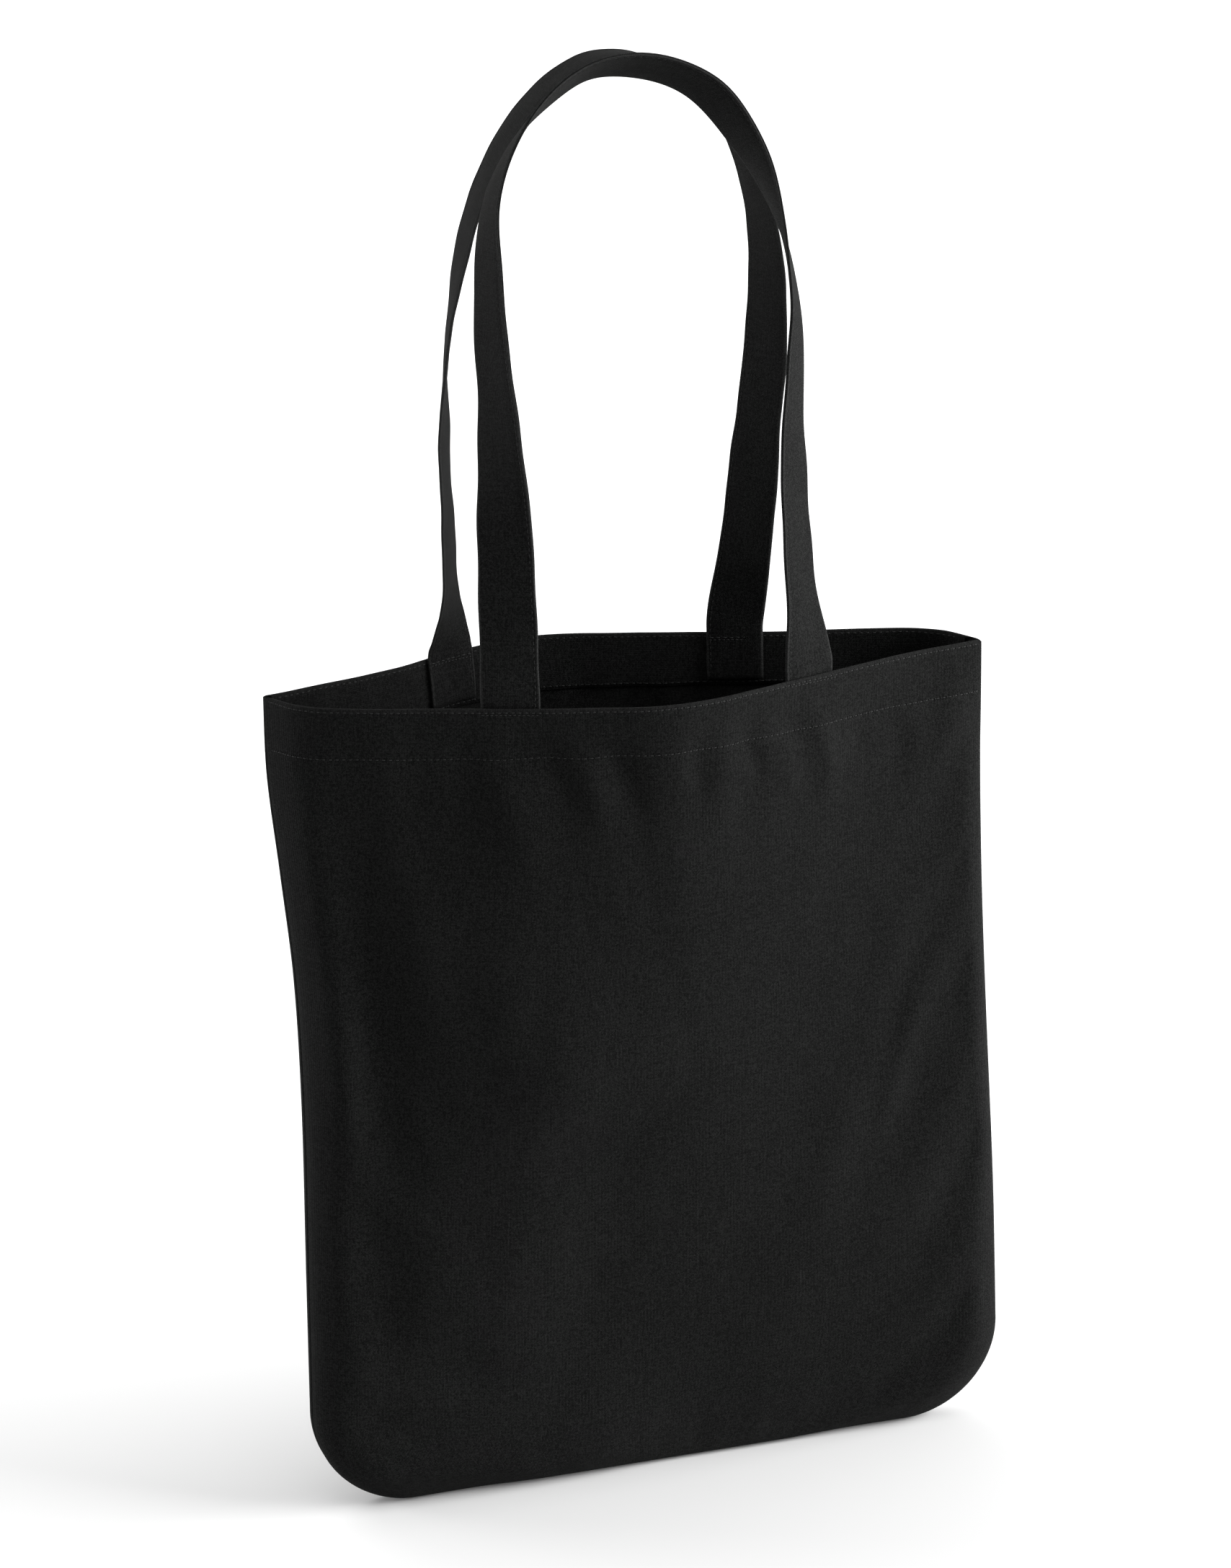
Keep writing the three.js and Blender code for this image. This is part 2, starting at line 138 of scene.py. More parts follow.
back = {
    "name": "back", "out": 1, "depth": 63,
    "mouth": [
        [0, 0], [0.1, 0.17], [0.2, 0.4], [0.31, 0.75], [0.43, 1],
        [0.55, 0.9], [0.73, 0.65], [0.88, 0.5], [0.965, 0.32], [1, 0],
    ],
    "feet": [0.289, 0.693],
    "line": [
        [0, 45], [-0.018, 100], [-0.018, 145], [0.025, 195], [0.115, 240], [0.269, 274],
        [0.469, 293], [0.662, 292], [0.863, 275], [1.02, 242], [1.095, 200], [1.106, 155],
        [1.074, 100], [1.038, 45],
    ],
    "twist": [
        [0, 58], [0.02, 43], [0.03, 36], [0.06, 28], [0.16, 24], [0.22, 17], [0.28, 9], [0.36, 3],
        [0.5, 2], [0.64, 6], [0.75, 22], [0.87, 36], [0.95, 48], [1, 72],
    ],
}


def seamX(side, height):
    # where the seam lies, on the left with side -1 and on the right with side 1
    radius = bag["cornerRadius"]
    rise = clamped((height - radius) / (bag["height"] - radius))
    lean = np.where(side < 0, through(bag["leftSeam"], rise), through(bag["rightSeam"], rise))
    drop = np.maximum(0, radius - height)
    return side * (bag["width"] / 2 - radius + np.sqrt(radius**2 - drop**2)) + lean


def seamDistance(x, height):
    side = np.where(x < 0, -1.0, 1.0)
    radius = bag["cornerRadius"]
    beyond = side * (x - seamX(side, np.full_like(x, radius))) + radius
    corner = np.where(beyond <= 0, height, radius - np.hypot(beyond, radius - height))
    return np.where(height >= radius, side * (seamX(side, height) - x), corner)


def clothMiddle(panel, share, height):
    # the plain shape: the middle of the cloth between its seams, bottom fold and mouth
    share, height = np.broadcast_arrays(np.asarray(share, float), np.asarray(height, float))
    left, right = seamX(-1.0, height), seamX(1.0, height)
    x = mix(left, right, share)
    rise = height / bag["height"]
    flatness = 1 - eased((np.abs(x) - bag["baseFlatEnd"]) / bag["baseFlatFade"])
    radius, flat = bag["baseFoldRadius"], bag["baseHalfDepth"] - bag["baseFoldRadius"]
    turn = clamped((height - flat) / (radius * math.pi / 2)) * math.pi / 2
    foldDepth = (np.minimum(height, flat) + radius * np.sin(turn)) / bag["baseHalfDepth"]
    foldZ = radius * (1 - np.cos(turn)) + np.maximum(0, height - flat - radius * math.pi / 2)
    distance = seamDistance(x, height)
    rightPart = eased((share - 0.5) / 0.3) * eased((rise - 0.2) / 0.2)
    sideRound = mix(bag["sideRound"], bag["rightRound"], rightPart)
    roundShare = np.sqrt(1 - (1 - clamped(distance / sideRound)) ** 2)
    body = mix(bag["baseHalfDepth"], bag["bellyDepth"], rise) * mix(roundShare, foldDepth, flatness)
    mouth = panel["depth"] * through(panel["mouth"], share)
    depth = (bag["clothThickness"] + bag["pieceGap"]) / 2 + mix(body, mouth, rise**2)
    nearSeam = (1 - eased(distance / bag["seamTurnReach"])) * (1 - eased((rise - 0.9) / 0.1))
    depth = depth + bag["seamTurn"] * nearSeam
    hemStart = bag["height"] - 2 * bag["hemDepth"] - bag["cornerRadius"]
    returned = eased((height - bag["cornerRadius"]) / hemStart)
    z = height - flatness * (height - foldZ) * (1 - returned)
    y = bag["mouthTurn"] * rise * (1 - 2 * share) + panel["out"] * depth
    return np.stack([x + bag["originX"], y + bag["originY"], z + bag["clothThickness"] / 2], axis=-1)


# folds, dents and puckers that the cloth has taken
frontFolds = {
    # the long ridge from the hem down to the lower left corner, and the hollow beside it, by height
    "ridge": [
        [0, 0.1], [60, 0.12], [100, 0.155], [150, 0.18], [190, 0.215], [225, 0.3], [262, 0.285],
        [300, 0.255], [340, 0.27], [385, 0.285], [420, 0.29],
    ],
    "ridgeHeight": [
        [0, 0], [40, 2.5], [100, 9.5], [180, 10], [225, 13.5], [300, 11.5], [350, 7], [393, 1.5], [420, 0],
    ],
    "valley": [[0, 0], [60, 1.5], [120, 4.2], [180, 5], [240, 6], [300, 5], [350, 2.4], [393, 0], [420, 0]],
    "puckers": 0.51, "seed": 3, "lowDip": 8, "lowSwell": 0,
    # round swells and dents: share across, its width, height, its width, rise
    "swells": [(0.04, 0.025, 240, 34, 5), (0.86, 0.06, 205, 40, -1.6), (0.24, 0.035, 232, 12, -1.2)],
    # creases, then small ridges and dents hanging from the hem row: start, end, rise, width
    "creases": [
        ((0.905, 262), (0.815, 172), 1.35, 7), ((0.885, 306), (0.795, 222), 1.35, 11),
        ((0.76, 200), (0.72, 130), 1.8, 13),
        ((0.275, 398), (0.325, 340), 2.8, 12), ((0.34, 399), (0.385, 366), -2.4, 7),
        ((0.39, 398), (0.42, 352), 1.5, 8), ((0.43, 399), (0.465, 362), -2.4, 7),
        ((0.54, 397), (0.55, 370), -1.0, 6), ((0.62, 398), (0.64, 372), -1.2, 5),
        ((0.665, 402), (0.695, 356), 1.1, 6), ((0.725, 405), (0.765, 350), 1.7, 7),
        ((0.79, 392), (0.815, 366), -1.0, 6), ((0.86, 392), (0.865, 360), -1.1, 7),
    ],
}
backFolds = {
    "ridge": [[0, 0.72], [100, 0.7], [220, 0.62], [330, 0.66], [420, 0.7]],
    "ridgeHeight": [[0, 0], [60, 1.5], [220, 4.5], [330, 3], [393, 0.6], [420, 0]],
    "valley": [[0, 0], [80, 0.5], [260, 2.2], [360, 0.8], [420, 0]],
    "puckers": 0.48, "seed": 11, "lowDip": 0, "lowSwell": 1.5,
    "swells": [(0.04, 0.025, 240, 34, 1.2)],
    "creases": [
        ((0.2, 300), (0.34, 190), 0.8, 6),
        ((0.24, 394), (0.26, 345), 1.4, 9), ((0.36, 392), (0.34, 360), -1.5, 7),
        ((0.52, 392), (0.54, 352), 1.2, 9), ((0.61, 392), (0.6, 364), -1.2, 6),
        ((0.74, 394), (0.72, 340), 1.6, 9), ((0.83, 392), (0.85, 366), -1.0, 6),
    ],
}
foldShape = {
    "seamFade": 26, "bottomFade": 20,  # how far from the seam the folds are full
    "ridgeWidths": (0.13, 0.17), "ridgeRound": 0.5, "ridgeSharp": 0.55,
    "valley": (0.09, 0.045),  # its place across, and its width
    "puckerFades": (26, 14),  # below and above the hem row
    "hemFullness": 3.0, "rimLean": 2.2, "bottomPuckers": 0.45, "unevenness": 0.45, "fineUnevenness": 0.1,
}


def creaseLine(share, height, start, end, width):
    # a soft narrow ridge from one place to another, in millimetres across
    across = bag["width"]
    run = np.array([(end[0] - start[0]) * across, end[1] - start[1]])
    place = np.stack([(share - start[0]) * across, height - start[1]], axis=-1)
    along = np.clip(place @ run / (run @ run), 0, 1)
    away = np.linalg.norm(place - along[..., None] * run, axis=-1)
    fade = np.sin(math.pi * np.clip(along * 0.9 + 0.05, 0, 1)) ** 0.7
    return np.exp(-((away / width) ** 2)) * fade


def relief(panel, share, height):
    # how far the cloth stands out from its plain shape
    folds, across = frontFolds if panel["out"] < 0 else backFolds, share * bag["width"]
    sewn = seamDistance(mix(seamX(-1.0, height), seamX(1.0, height), share), np.minimum(height, 400))
    free = eased(sewn / foldShape["seamFade"]) * eased(height / foldShape["bottomFade"])
    ridge, rise = through(folds["ridge"], height), through(folds["ridgeHeight"], height)
    width = np.where(share < ridge, *foldShape["ridgeWidths"])
    peak = np.sqrt(1.04) - np.sqrt(np.minimum(((share - ridge) / (width * 1.3)) ** 2, 1.0) + 0.04)
    rounded = foldShape["ridgeRound"] * hump(share, ridge, width)
    out = rise * (rounded + foldShape["ridgeSharp"] * np.maximum(peak, 0))
    out = out - through(folds["valley"], height) * hump(share, *foldShape["valley"])
    for middle, width, level, spread, rise in folds["swells"]:
        out = out + rise * hump(share, middle, width) * hump(height, level, spread)
    for start, end, rise, width in folds["creases"]:
        out = out + rise * creaseLine(share, height, start, end, width)
    rightPart = eased((share - 0.36) / 0.2) * eased((1 - share) / 0.3)
    out = out - folds["lowDip"] * eased((105 - height) / 85) * rightPart
    lowPart = eased((330 - height) / 120) * eased((height - 40) / 120)
    out = out + folds["lowSwell"] * hump(share, 0.28, 0.07) * lowPart
    # the hem row gathers the cloth round it a little
    under = bag["height"] - bag["hemDepth"] - height
    fade = np.exp(-np.abs(under) / np.where(under > 0, *foldShape["puckerFades"]))
    waves = np.sin(across / 5.3 + 1.8 * np.sin(across / 23 + folds["seed"]))
    waves = waves + 0.6 * np.sin(across / 11.7 + folds["seed"])
    out = out + folds["puckers"] * waves * fade
    full = hump(under, 15, 12) * (0.7 + 0.3 * np.sin(across / 19 + 2.2)) * eased((share - 0.15) / 0.15)
    out = out + foldShape["hemFullness"] * full
    out = out + foldShape["rimLean"] * eased(-under / 26) * eased((0.62 - share) / 0.3) * eased(share / 0.1)
    # tight small puckers along the bottom seam, and an unevenness all over
    low = np.exp(-height / 16) * eased(height / 6)
    out = out + foldShape["bottomPuckers"] * low * np.sin(across / 3.7 + 2 * np.sin(across / 29))
    out = out + foldShape["unevenness"] * ripples(across, height, 80, folds["seed"])
    out = out + foldShape["fineUnevenness"] * ripples(across, height, 26, folds["seed"] + 1)
    return out * free


settled = {"front": None, "back": None}  # what the cloth simulation adds, filled in below


def settledAt(panel, share, height):
    field = settled[panel["name"]]
    if field is None:
        return 0.0
    rows, columns = field.shape
    i = np.clip(height / bag["height"], 0, 1) * (rows - 1)
    j = np.clip(share, 0, 1) * (columns - 1)
    row, column = np.minimum(i.astype(int), rows - 2), np.minimum(j.astype(int), columns - 2)
    beside = eased(j - column)
    lower = mix(field[row, column], field[row, column + 1], beside)
    upper = mix(field[row + 1, column], field[row + 1, column + 1], beside)
    return mix(lower, upper, eased(i - row))


def inwardOf(panel, share, height):
    # the level way from the cloth into the bag
    step = 0.004
    before = clothMiddle(panel, np.maximum(0, share - step), height)
    after = clothMiddle(panel, np.minimum(1, share + step), height)
    along = after - before
    flat = np.stack([along[..., 1], -along[..., 0], np.zeros_like(along[..., 0])], axis=-1)
    return unit(flat) * panel["out"]


def clothPoint(panel, share, height, inset):
    # a place on the cloth, moved into the bag by an inset from the cloth's middle
    share, height = np.broadcast_arrays(np.asarray(share, float), np.asarray(height, float))
    reach = np.minimum(height, bag["height"])
    out = relief(panel, share, reach) + settledAt(panel, share, reach)
    inward = inwardOf(panel, share, reach)
    point = clothMiddle(panel, share, reach) + inward * (np.asarray(inset - out)[..., None])
    point[..., 2] += height - reach
    return point


# materials
def addNode(tree, kind, **settings):
    node = tree.nodes.new(kind)
    for name, value in settings.items():
        setattr(node, name, value)
    return node


def feed(tree, socket, value):
    # another node's output, or a fixed value
    if hasattr(value, "is_linked"):
        tree.links.new(value, socket)
    else:
        socket.default_value = value


def setSockets(node, values):
    for name, value in values.items():
        node.inputs[name].default_value = value


def maths(tree, operation, first, second=None):
    node = addNode(tree, "ShaderNodeMath", operation=operation)
    feed(tree, node.inputs[0], first)
    if second is not None:
        feed(tree, node.inputs[1], second)
    return node.outputs[0]


def summed(tree, parts):
    # the sum of sockets, each times its share
    total = None
    for socket, share in parts:
        part = maths(tree, "MULTIPLY", socket, share)
        total = part if total is None else maths(tree, "ADD", total, part)
    return total


def chosen(tree, first, second, choice):
    # the first where the choice is 1 and the second where it is 0
    other = maths(tree, "MULTIPLY", second, maths(tree, "SUBTRACT", 1.0, choice))
    return maths(tree, "ADD", maths(tree, "MULTIPLY", first, choice), other)


def bump(tree, height, strength, depth, normal=None):
    node = addNode(tree, "ShaderNodeBump")
    setSockets(node, {"Strength": strength, "Distance": depth * mm})
    tree.links.new(height, node.inputs["Height"])
    if normal is not None:
        tree.links.new(normal, node.inputs["Normal"])
    return node.outputs["Normal"]


def varyRoughness(tree, shader, factor, roughness, spread):
    node = addNode(tree, "ShaderNodeMapRange")
    tree.links.new(factor, node.inputs["Value"])
    setSockets(node, {"To Min": roughness - spread, "To Max": min(1.0, roughness + spread)})
    tree.links.new(node.outputs["Result"], shader.inputs["Roughness"])


def noise(tree, vector, scale, detail, roughness=0.5, output="Fac"):
    node = addNode(tree, "ShaderNodeTexNoise")
    for name, value in (("Vector", vector), ("Scale", scale), ("Detail", detail), ("Roughness", roughness)):
        feed(tree, node.inputs[name], value)
    return node.outputs[output]


def blendColours(tree, factor, first, second):
    node = addNode(tree, "ShaderNodeMix", data_type="RGBA")
    for index, value in ((0, factor), (6, first), (7, second)):
        feed(tree, node.inputs[index], (*value, 1) if isinstance(value, tuple) else value)
    return node.outputs[2]


def newMaterial(name):
    material = bpy.data.materials.new(name)
    material.use_nodes = True
    tree = material.node_tree
    shader = tree.nodes["Principled BSDF"]
    return material, tree, shader


def canvasMaterial(name, finish):
    # plain weave: threads over and under each other, on the piece's own cut-out coordinates
    material, tree, shader = newMaterial(name)
    link = tree.links.new
    uv = addNode(tree, "ShaderNodeUVMap", uv_map="cut").outputs["UV"]
    wander = addNode(tree, "ShaderNodeVectorMath", operation="SCALE")
    link(noise(tree, uv, finish["driftScale"], 2, output="Color"), wander.inputs[0])
    wander.inputs["Scale"].default_value = finish["threadDrift"] * mm
    moved = addNode(tree, "ShaderNodeVectorMath", operation="ADD")
    link(uv, moved.inputs[0])
    link(wander.outputs["Vector"], moved.inputs[1])
    split = addNode(tree, "ShaderNodeSeparateXYZ")
    link(moved.outputs["Vector"], split.inputs[0])
    perMetre = 1 / (finish["threadPitch"] * mm)
    threads = [maths(tree, "MULTIPLY", split.outputs[axis], perMetre) for axis in ("X", "Y")]
    warpWave, weftWave = (maths(tree, "SINE", maths(tree, "MULTIPLY", place, math.pi)) for place in threads)
    over = maths(tree, "GREATER_THAN", maths(tree, "MULTIPLY", warpWave, weftWave), 0.0)
    warpSide, weftSide = maths(tree, "ABSOLUTE", warpWave), maths(tree, "ABSOLUTE", weftWave)
    warpTop = maths(tree, "MULTIPLY", warpSide, maths(tree, "POWER", weftSide, finish["threadRound"]))
    weftTop = maths(tree, "MULTIPLY", weftSide, maths(tree, "POWER", warpSide, finish["threadRound"]))
    top = chosen(tree, warpTop, weftTop, over)
    # each thread has its own tone and thicker stretches
    streaks = []
    for squeeze in ((perMetre, finish["streakScale"], 1), (finish["streakScale"], perMetre, 1)):
        mapping = addNode(tree, "ShaderNodeMapping", vector_type="POINT")
        link(moved.outputs["Vector"], mapping.inputs["Vector"])
        mapping.inputs["Scale"].default_value = squeeze
        streaks.append(noise(tree, mapping.outputs["Vector"], 1.0, 2))
    streak = chosen(tree, *streaks, over)
    objectPlace = addNode(tree, "ShaderNodeTexCoord").outputs["Object"]
    fineFuzz = noise(tree, objectPlace, finish["fuzzScale"], 3, 0.65)
    fuzz = summed(tree, ((fineFuzz, 0.5), (noise(tree, objectPlace, finish["grainScale"], 2, 0.6), 0.5)))
    cloud = noise(tree, objectPlace, finish["cloudScale"], 4, 0.55)
    # the tone follows the thread crowns, lighter on top and darker in the gaps between threads: painted
    # shade; streak, fuzz and cloud vary at random
    tone = summed(tree, zip((streak, top, fuzz, cloud), finish["toneShares"]))
    tone = maths(tree, "SUBTRACT", tone, finish["toneShift"])
    wearAndHoleShade = addNode(tree, "ShaderNodeAttribute", attribute_name="wearAndHoleShade").outputs["Fac"]
    worn = maths(tree, "MULTIPLY", wearAndHoleShade, maths(tree, "ADD", maths(tree, "MULTIPLY", fuzz, 1.2), -0.1))
    tinted = blendColours(tree, tone, finish["dark"], finish["light"])
    link(blendColours(tree, worn, tinted, finish["worn"]), shader.inputs["Base Color"])
    varyRoughness(tree, shader, fuzz, finish["roughness"], 0.08)
    height = summed(tree, ((top, 1.0), (streak, 0.7), (fuzz, 0.8)))
    weave = bump(tree, height, finish["weaveStrength"], finish["weaveDepth"])
    cockle = noise(tree, objectPlace, finish["cockleScale"], 3, 0.6)
    cockled = bump(tree, cockle, finish["cockleStrength"], finish["cockleDepth"], weave)
    link(cockled, shader.inputs["Normal"])
    setSockets(shader, {"Specular IOR Level": finish["specular"], "Sheen Weight": finish["sheen"]})
    setSockets(shader, {"Sheen Roughness": 0.55, "Sheen Tint": (0.77, 0.78, 0.77, 1)})
    return material


def threadMaterial(name, finish):
    # twisted sewing thread: fine slanted ridges along each stitch
    material, tree, shader = newMaterial(name)
    link = tree.links.new
    uv = addNode(tree, "ShaderNodeUVMap", uv_map="cut").outputs["UV"]
    split = addNode(tree, "ShaderNodeSeparateXYZ")
    link(uv, split.inputs[0])
    slant = summed(tree, zip((split.outputs["X"], split.outputs["Y"]), finish["plyTurns"]))
    ply = maths(tree, "ABSOLUTE", maths(tree, "SINE", slant))
    objectPlace = addNode(tree, "ShaderNodeTexCoord").outputs["Object"]
    lint = noise(tree, objectPlace, finish["lintScale"], 2)
    # the tone follows the twist, lighter on the ply ridges and darker in the grooves between them: painted
    # shade; lint varies at random
    tone = summed(tree, ((ply, 0.5), (lint, 0.6)))
    # the needle-hole beads are marked by this point value and coloured near-black: painted shade of the holes
    holeShade = addNode(tree, "ShaderNodeAttribute", attribute_name="wearAndHoleShade").outputs["Fac"]
    lit = blendColours(tree, tone, finish["dark"], finish["light"])
    link(blendColours(tree, holeShade, lit, finish["holeShade"]), shader.inputs["Base Color"])
    varyRoughness(tree, shader, lint, finish["roughness"], 0.1)
    link(bump(tree, ply, 0.5, finish["plyDepth"]), shader.inputs["Normal"])
    setSockets(shader, {"Specular IOR Level": finish["specular"], "Sheen Weight": finish["sheen"]})
    return material


canvasFinish = {
    "dark": (0.0016, 0.00165, 0.0016), "light": (0.0081, 0.0083, 0.0081), "worn": (0.022, 0.0222, 0.022),
    "threadPitch": 0.82, "threadDrift": 0.5, "driftScale": 140, "threadRound": 0.4, "streakScale": 60,
    "fuzzScale": 1900, "grainScale": 860, "cloudScale": 14,
    "toneShares": (1.4, 0.35, 5.8, 0.5), "toneShift": 3.6,  # thread, its top (painted shade: crowns lighter, gaps darker), fuzz, cloud
    "weaveDepth": 0.22, "weaveStrength": 0.8, "cockleScale": 520, "cockleDepth": 0.4, "cockleStrength": 0.4,
    "roughness": 0.9, "specular": 0.05, "sheen": 0.008,
}
strapFinish = dict(canvasFinish, light=(0.0089, 0.0091, 0.0089), worn=(0.03, 0.0303, 0.03))
threadFinish = {
    # the near-black colour last in this line paints the shade of the needle holes
    "dark": (0.004, 0.0041, 0.004), "light": (0.022, 0.0223, 0.022), "holeShade": (0.0004, 0.0004, 0.0004),
    "plyTurns": (9000, 6000), "plyDepth": 0.1, "lintScale": 900,
    "roughness": 0.65, "specular": 0.1, "sheen": 0.01,
}
canvas = canvasMaterial("blackCanvas", canvasFinish)
strapCanvas = canvasMaterial("blackStrapCanvas", strapFinish)
thread = threadMaterial("blackThread", threadFinish)
print("materials made")


# building helpers
def makeObject(name, points, faces, uvs, material, wearAndHoleShade=None):
    mesh = bpy.data.meshes.new(name)
    mesh.from_pydata((points * mm).tolist(), [], faces)
    layer = mesh.uv_layers.new(name="cut")
    corners = np.zeros(len(mesh.loops), int)
    mesh.loops.foreach_get("vertex_index", corners)
    layer.data.foreach_set("uv", (uvs[corners] * mm).astype(np.float32).ravel())
    # this point value holds wear on canvas pieces, and on stitch pieces marks the beads painted as
    # needle-hole shade
    wearAndHoleShadeLayer = mesh.attributes.new("wearAndHoleShade", "FLOAT", "POINT")
    wearAndHoleShadeLayer.data.foreach_set("value", (np.zeros(len(points)) if wearAndHoleShade is None else wearAndHoleShade).astype(np.float32))
    mesh.materials.append(material)
    mesh.validate()
    piece = bpy.data.objects.new(name, mesh)
    collection.objects.link(piece)
    mesh.shade_smooth()
    return piece


def gridFaces(rows, columns):
    i, j = np.meshgrid(np.arange(rows - 1), np.arange(columns - 1), indexing="ij")
    first = i * columns + j
    faces = np.stack([first, first + 1, first + columns + 1, first + columns], axis=-1)
    return faces.reshape(-1, 4).tolist()


def applyModifier(piece, modifier):
    bpy.ops.object.select_all(action="DESELECT")
    piece.select_set(True)
    bpy.context.view_layer.objects.active = piece
    bpy.ops.object.modifier_apply(modifier=modifier.name)
    piece.select_set(False)


def sweep(name, frames, outline, material, turned=False, edgeRub=None):
    # a closed outline carried along stations: frames hold a place for every outline point
    stations, around = frames.shape[:2]
    faces = []
    for i in range(0, (stations - 1) * around, around):
        for j in range(around):
            k = (j + 1) % around
            faces.append([i + j, i + k, i + around + k, i + around + j])
    faces.append(list(range(around))[::-1])
    faces.append([(stations - 1) * around + j for j in range(around)])
    if turned:
        faces = [face[::-1] for face in faces]
    width, length = runLength(np.array(outline, float)), runLength(frames.mean(axis=1))
    uvs = np.stack(np.meshgrid(width, length), axis=-1).reshape(-1, 2)
    wearAndHoleShade = None if edgeRub is None else np.tile(edgeRub, stations)
    return makeObject(name, frames.reshape(-1, 3), faces, uvs, material, wearAndHoleShade)


def stitchShape():
    # one stitch: a short bead, 1 long and 1 wide, sunk at both ends
    bpy.ops.mesh.primitive_uv_sphere_add(segments=8, ring_count=5, radius=0.5)
    bead = bpy.context.object
    bpy.ops.object.mode_set(mode="EDIT")
    bpy.ops.mesh.select_all(action="SELECT")
    bpy.ops.transform.rotate(value=math.pi / 2, orient_axis="Y", center_override=(0, 0, 0))
    bpy.ops.object.mode_set(mode="OBJECT")
    points = np.array([vertex.co for vertex in bead.data.vertices])
    points[:, 0] = np.sign(points[:, 0]) * (np.abs(points[:, 0]) * 2) ** 0.75 / 2  # blunter ends
    points[:, 2] -= 0.33 * (np.abs(points[:, 0]) * 2) ** 4
    faces = [list(polygon.vertices) for polygon in bead.data.polygons]
    bpy.data.objects.remove(bead, do_unlink=True)
    return points, faces


beadPoints, beadFaces = stitchShape()


def resample(path, normals, step, offset=0.5):
    # places a step apart on a path, with the path's way and its normal at each
    length = runLength(path)
    count = max(2, int(round(length[-1] / step)))
    at = (np.arange(count) + offset) * length[-1] / count
    way = placesAt(path, length, at + step * 0.3) - placesAt(path, length, at - step * 0.3)
    return placesAt(path, length, at), unit(way), unit(placesAt(normals, length, at))


def stitches(places, along, normals, length, width, height, slant=0.0):
    # copies of the bead, laid along a row and lying on its face
    side = unit(np.cross(normals, along))
    along = unit(along * math.cos(slant) + side * math.sin(slant))
    side = unit(np.cross(normals, along))
    normals = np.cross(along, side)
    points = (places[:, None, :] + beadPoints[None, :, 0, None] * length * along[:, None, :]
              + beadPoints[None, :, 1, None] * width * side[:, None, :]
              + beadPoints[None, :, 2, None] * height * normals[:, None, :])
    count = len(beadPoints)
    faces = [[corner + i * count for corner in face] for i in range(len(places)) for face in beadFaces]
    uvs = np.tile(beadPoints[:, :2] * (length, width), (len(places), 1))
    return points.reshape(-1, 3), faces, uvs


def stitchPiece(name, parts, holeShades=()):
    # stitches, and between them dark beads that paint the shade of the needle holes
    points, faces, uvs, dark, start = [], [], [], [], 0
    for k, part in enumerate([*parts, *holeShades]):
        points.append(part[0])
        faces += [[corner + start for corner in face] for face in part[1]]
        uvs.append(part[2])
        # the last parts are the dark beads painted as needle-hole shade; this mask marks them
        dark.append(np.full(len(part[0]), float(k >= len(parts))))
        start += len(part[0])
    return makeObject(name, np.vstack(points), faces, np.vstack(uvs), thread, np.concatenate(dark))


# the cloth settles under its own weight
settling = {
    "rows": 91, "columns": 79, "frames": 26,
    "seamHold": 16, "baseHold": 26, "hemHold": 14,  # how far in from each the cloth is held
    "mass": 0.12, "stiffness": 20, "bending": 9, "damping": 4, "weight": 0.45, "growth": -0.003,
    "use": 0.6, "cap": 3.5,  # how much of the result is kept, and its limit
}


def settlePanel(panel):
    # a coarse copy of the panel, held at the seams, the bottom and the hem, slackens and folds
    heights = np.linspace(0, bag["height"], settling["rows"])
    share, height = np.meshgrid(np.linspace(0, 1, settling["columns"]), heights)
    start = clothPoint(panel, share, height, 0.0)
    hemStart = bag["height"] - bag["hemDepth"]
    side = bag["width"] * np.minimum(share, 1 - share)
    slack = eased(side / settling["seamHold"]) * eased(height / settling["baseHold"])
    slack = slack * eased((hemStart - height) / settling["hemHold"])
    uvs = np.stack([share * bag["width"], height], axis=-1).reshape(-1, 2)
    sheet = makeObject(f"{panel['name']}Settling", start.reshape(-1, 3), gridFaces(*share.shape), uvs, canvas)
    group = sheet.vertex_groups.new(name="held")
    for index, value in enumerate(1 - slack.reshape(-1)):
        group.add([index], float(value), "REPLACE")
    cloth = sheet.modifiers.new("Settle", "CLOTH")
    feel = cloth.settings
    feel.vertex_group_mass = "held"
    feel.mass, feel.air_damping, feel.shrink_min = settling["mass"], settling["damping"], settling["growth"]
    feel.tension_stiffness = feel.compression_stiffness = settling["stiffness"]
    feel.bending_stiffness = settling["bending"]
    feel.effector_weights.gravity = settling["weight"]
    cloth.collision_settings.use_collision = False
    for step in range(1, settling["frames"] + 1):
        bpy.context.scene.frame_set(step)
    applyModifier(sheet, cloth)
    places = np.zeros(len(sheet.data.vertices) * 3)
    sheet.data.vertices.foreach_get("co", places)
    moved = places.reshape(start.shape) / mm - start
    bpy.data.objects.remove(sheet, do_unlink=True)
    bpy.context.scene.frame_set(1)
    out = -np.sum(moved * inwardOf(panel, share, height), axis=-1) * settling["use"]
    out = settling["cap"] * np.tanh(out / settling["cap"]) * slack
    print(panel["name"], "settled by", round(float(out.min()), 2), "to", round(float(out.max()), 2), "mm")
    return out


for panel in (front, back):
    settled[panel["name"]] = settlePanel(panel)


# the two panels
panelMesh = {
    "columnStep": 2.1, "rowStep": 2.1, "cornerRows": 30, "sideColumns": 12, "turnRows": 6, "seamRows": 3,
    "cutWidth": 392, "rimWear": 0.32, "rimWearReach": 1.6, "seamWear": 0.35,
}


def panelShares():
    side = bag["sideRound"] * (1 - np.cos(np.linspace(0, math.pi / 2, panelMesh["sideColumns"] + 1)))
    count = int((bag["width"] - 2 * bag["sideRound"]) / panelMesh["columnStep"])
    middle = np.linspace(bag["sideRound"], bag["width"] - bag["sideRound"], count)[1:-1]
    return np.concatenate([side, middle, bag["width"] - side[::-1]]) / bag["width"]


